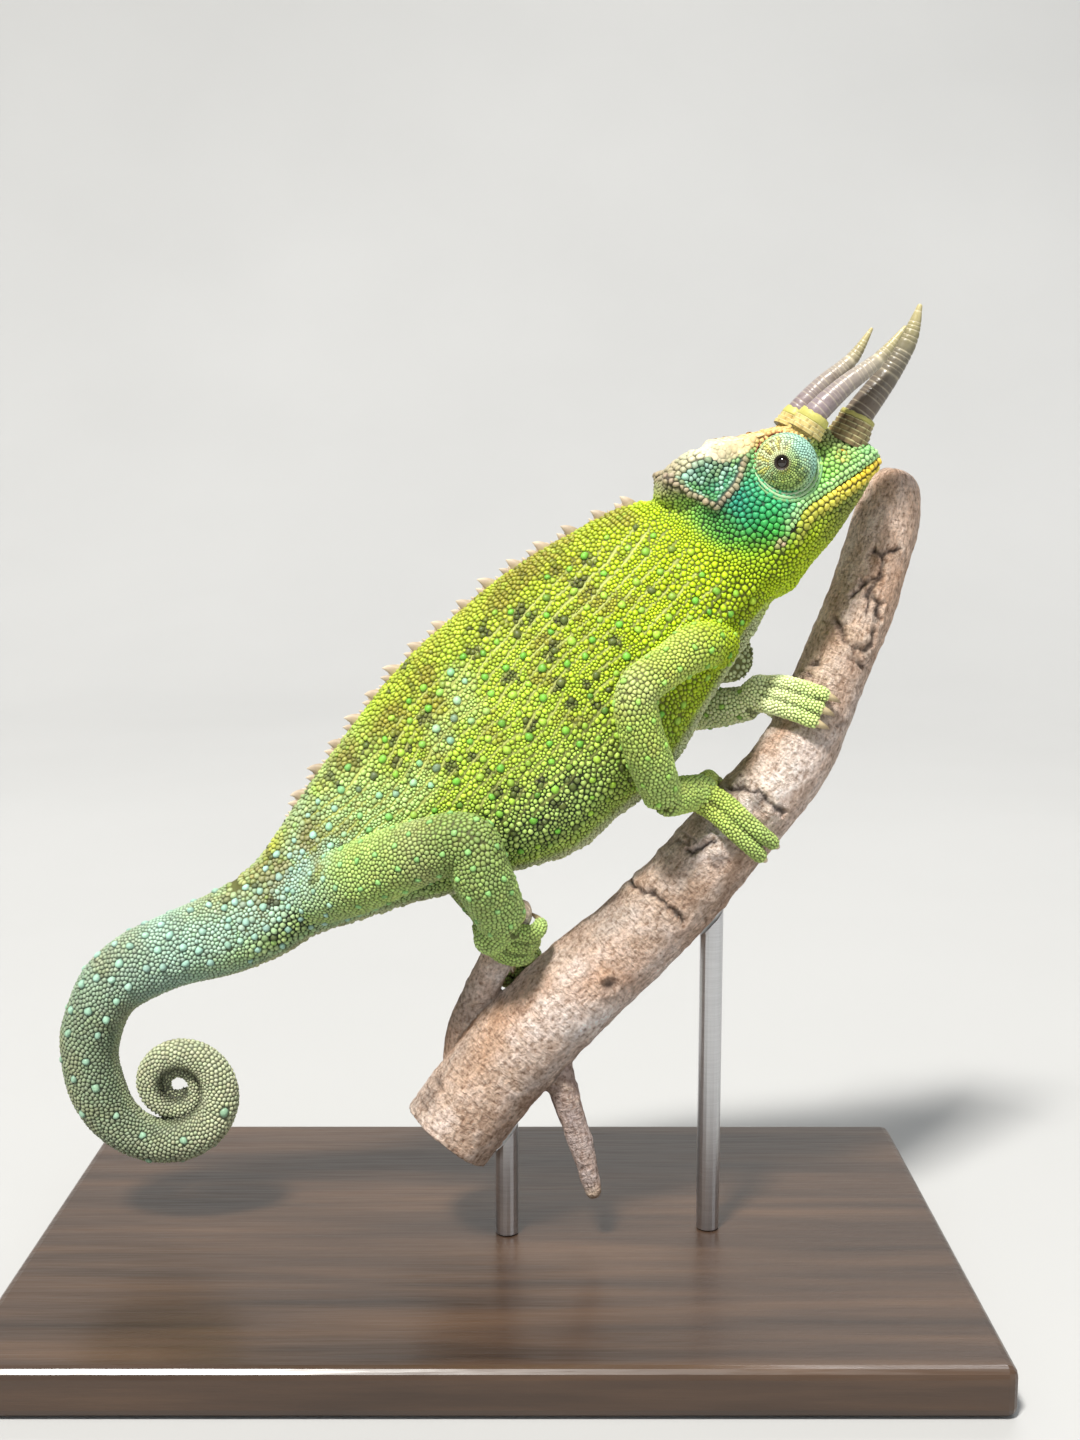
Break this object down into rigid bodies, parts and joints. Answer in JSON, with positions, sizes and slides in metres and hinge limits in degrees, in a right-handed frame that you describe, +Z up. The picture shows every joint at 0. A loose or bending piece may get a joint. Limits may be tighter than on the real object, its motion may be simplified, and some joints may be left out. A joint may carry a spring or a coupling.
{
  "type": "jackson's chameleon model on a stand",
  "caption": "Life-size male three-horned chameleon climbing a cut length of branch, tail coiled, held by two rods on a flat base.",
  "frame": {"origin": "middle of the underside of the base", "axes": "+X the way the animal climbs, +Y to its left, away from the camera, +Z up"},
  "size_m": [0.16, 0.096, 0.1682],
  "materials": {
    "skin_green": "matte scaled skin, lime green with darker blotches",
    "skin_head": "scaled skin, turquoise green with a cream crest",
    "skin_tail": "matte scaled skin, grey green",
    "eye_skin": "fine scaled lid",
    "eye_dark": "wet dark eye",
    "horn": "ringed keratin, satin",
    "bark": "rough grey-brown bark",
    "stand_wood": "dark stained, satin varnish",
    "stand_steel": "brushed"
  },
  "bodies": {
    "root": {"head": "skin_head", "lower_jaw": "skin_head", "eye_turret_right": "eye_skin", "eye_turret_left": "eye_skin", "eyeball_right": "eye_dark", "eyeball_left": "eye_dark", "horn_rostral": "horn", "horn_orbital_right": "horn", "horn_orbital_left": "horn", "neck": "skin_green", "torso": "skin_green", "tail_1": "skin_tail", "tail_2": "skin_tail", "tail_3": "skin_tail", "tail_4": "skin_tail", "tail_5": "skin_tail", "tail_6": "skin_tail", "foreleg_right_upper": "skin_green", "foreleg_right_lower": "skin_green", "foot_fore_right": "skin_green", "foreleg_left_upper": "skin_green", "foreleg_left_lower": "skin_green", "foot_fore_left": "skin_green", "hindleg_right_upper": "skin_green", "hindleg_right_lower": "skin_green", "foot_hind_right": "skin_green", "hindleg_left_upper": "skin_green", "hindleg_left_lower": "skin_green", "foot_hind_left": "skin_green", "perch": "bark", "stand_base": "stand_wood", "stand_rod_low": "stand_steel", "stand_rod_high": "stand_steel"}
  },
  "joints": []
}
